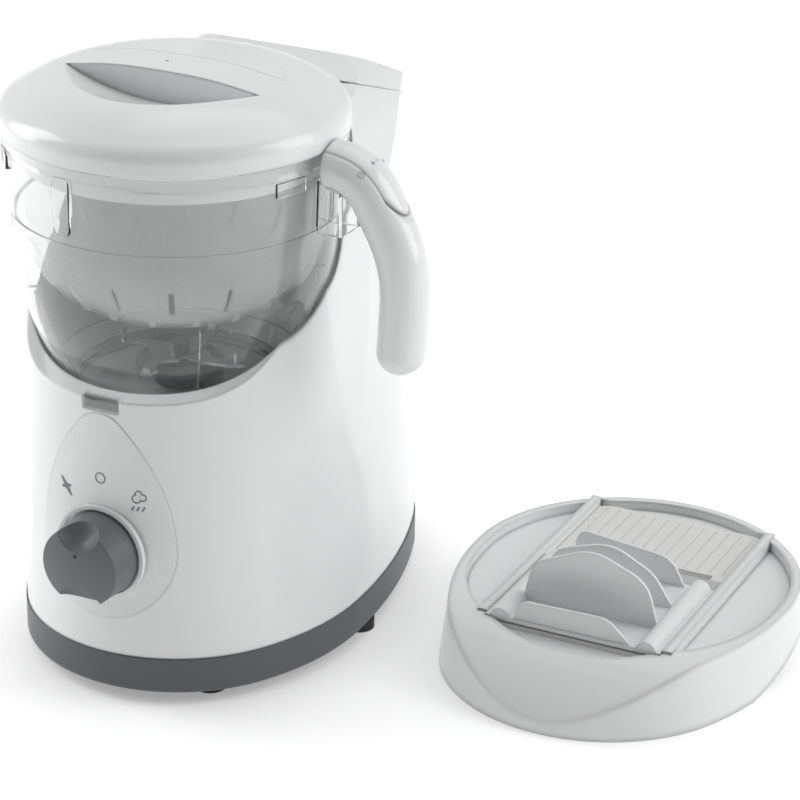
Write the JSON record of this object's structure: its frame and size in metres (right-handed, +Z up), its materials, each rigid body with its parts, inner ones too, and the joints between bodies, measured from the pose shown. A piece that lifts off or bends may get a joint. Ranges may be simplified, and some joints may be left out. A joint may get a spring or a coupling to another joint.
{
  "type": "baby food maker",
  "caption": "Countertop steamer and blender with a clear lidded jug on a curved white base, a boiler tower, a front knob and a separate slicing lid.",
  "frame": {"origin": "on the table under the centre of the jug, where the machine's feet stand", "axes": "+Z up along the jug and blade axis, -Y to the front with the knob, +X to the jug handle's side, +Y to the boiler tower"},
  "size_m": [0.384, 0.2991, 0.3075],
  "materials": {
    "white_shell": "glossy white moulded plastic",
    "white_satin": "satin white plastic",
    "grey_ring": "dark grey satin plastic",
    "grey_knob": "dark grey satin plastic",
    "print_grey": "printed grey",
    "clear_jug": "clear copolyester",
    "clear_tab": "clear insert",
    "rubber_dark": "black rubber",
    "silicone": "white silicone",
    "steel": "brushed stainless steel",
    "steel_dark": "plain steel",
    "brass_bush": "sintered brass",
    "black_plastic": "black plastic",
    "copper": "wound copper",
    "cast_alloy": "cast aluminium"
  },
  "bodies": {
    "base": {"housing_shell": "white_shell", "jug_cradle": "white_shell", "base_ring": "grey_ring", "bottom_plate": "black_plastic", "rubber_feet": "rubber_dark", "base_screws": "steel_dark", "control_panel": "white_shell", "panel_marks": "print_grey", "rim_window": "clear_tab", "rotary_switch": "black_plastic", "motor_can": "steel_dark", "motor_mount": "steel_dark", "motor_screws": "steel_dark", "motor_bearings": "brass_bush", "boiler_tank": "cast_alloy", "filler_neck": "white_satin", "boiler_stand": "white_satin", "heating_element": "cast_alloy", "thermostat": "steel", "steam_pipe": "silicone", "steam_nozzle": "white_satin", "lid_hinge_pin": "steel", "interlock_switch": "black_plastic", "cord_gland": "rubber_dark"},
    "drive": {"motor_shaft": "steel", "armature": "copper", "drive_coupling": "black_plastic", "cooling_fan": "black_plastic"},
    "knob": {"knob": "grey_knob", "knob_shaft": "white_satin"},
    "jug": {"jug": "clear_jug", "jug_handle": "white_shell", "lever_pin": "steel", "spindle_bush": "brass_bush"},
    "lever": {"thumb_lever": "white_shell"},
    "blades": {"spindle": "steel", "jug_coupling": "black_plastic", "blade_hub": "grey_knob", "blade_lower": "steel", "blade_upper": "steel", "blade_nut": "grey_knob"},
    "basket": {"steam_basket": "clear_jug"},
    "lid_ring": {"lid_gasket": "silicone"},
    "lid": {"lid_shell": "white_shell", "lid_liner": "white_satin"},
    "tank_lid": {"tank_lid": "white_shell"},
    "plug": {"boiler_plug": "white_satin"},
    "slicer": {"slicer_body": "white_shell", "slicer_table": "white_satin", "slicer_knife": "steel", "knife_screws": "steel_dark"},
    "carriage": {"slicer_carriage": "white_shell"}
  },
  "joints": [
    {"name": "knob_turn", "type": "hinge", "parent": "base", "child": "knob", "pos_m": [0, -0.08, 0.08], "axis": [0, 1, 0], "range_deg": [-50, 50]},
    {"name": "motor_spin", "type": "hinge", "parent": "base", "child": "drive", "pos_m": [0, 0, 0.09], "axis": [0, 0, 1], "continuous": true},
    {"name": "jug_lift", "type": "slide", "parent": "base", "child": "jug", "axis": [0, 0, 1], "range_m": [0, 0.17]},
    {"name": "blade_spin", "type": "hinge", "parent": "jug", "child": "blades", "pos_m": [0, 0, 0.15], "axis": [0, 0, 1], "continuous": true},
    {"name": "lever_press", "type": "hinge", "parent": "jug", "child": "lever", "pos_m": [0.1063, 0, 0.2705], "axis": [0, 1, 0], "range_deg": [0, 2], "stiffness_Nm_per_rad": 0.6, "springref_deg": -2.86},
    {"name": "basket_lift", "type": "slide", "parent": "jug", "child": "basket", "axis": [0, 0, 1], "range_m": [0, 0.11]},
    {"name": "lid_lift", "type": "slide", "parent": "basket", "child": "lid_ring", "axis": [0, 0, 1], "range_m": [0, 0.06]},
    {"name": "lid_twist", "type": "hinge", "parent": "lid_ring", "child": "lid", "pos_m": [0, 0, 0.28], "axis": [0, 0, 1], "range_deg": [0, 20]},
    {"name": "tank_lid_open", "type": "hinge", "parent": "base", "child": "tank_lid", "pos_m": [0, 0.14, 0.2608], "axis": [-1, 0, 0], "range_deg": [0, 95]},
    {"name": "plug_turn", "type": "hinge", "parent": "base", "child": "plug", "pos_m": [0, 0.116, 0.262], "axis": [0, 0, 1], "range_deg": [0, 90]},
    {"name": "slicer_lift", "type": "slide", "parent": "base", "child": "slicer", "axis": [0, 0, 1], "range_m": [0, 0.1]},
    {"name": "carriage_slide", "type": "slide", "parent": "slicer", "child": "carriage", "axis": [0, 1, 0], "range_m": [0, 0.06]}
  ],
  "couplings": [
    {"joint": "blade_spin", "follows": "motor_spin", "ratio": 1}
  ]
}
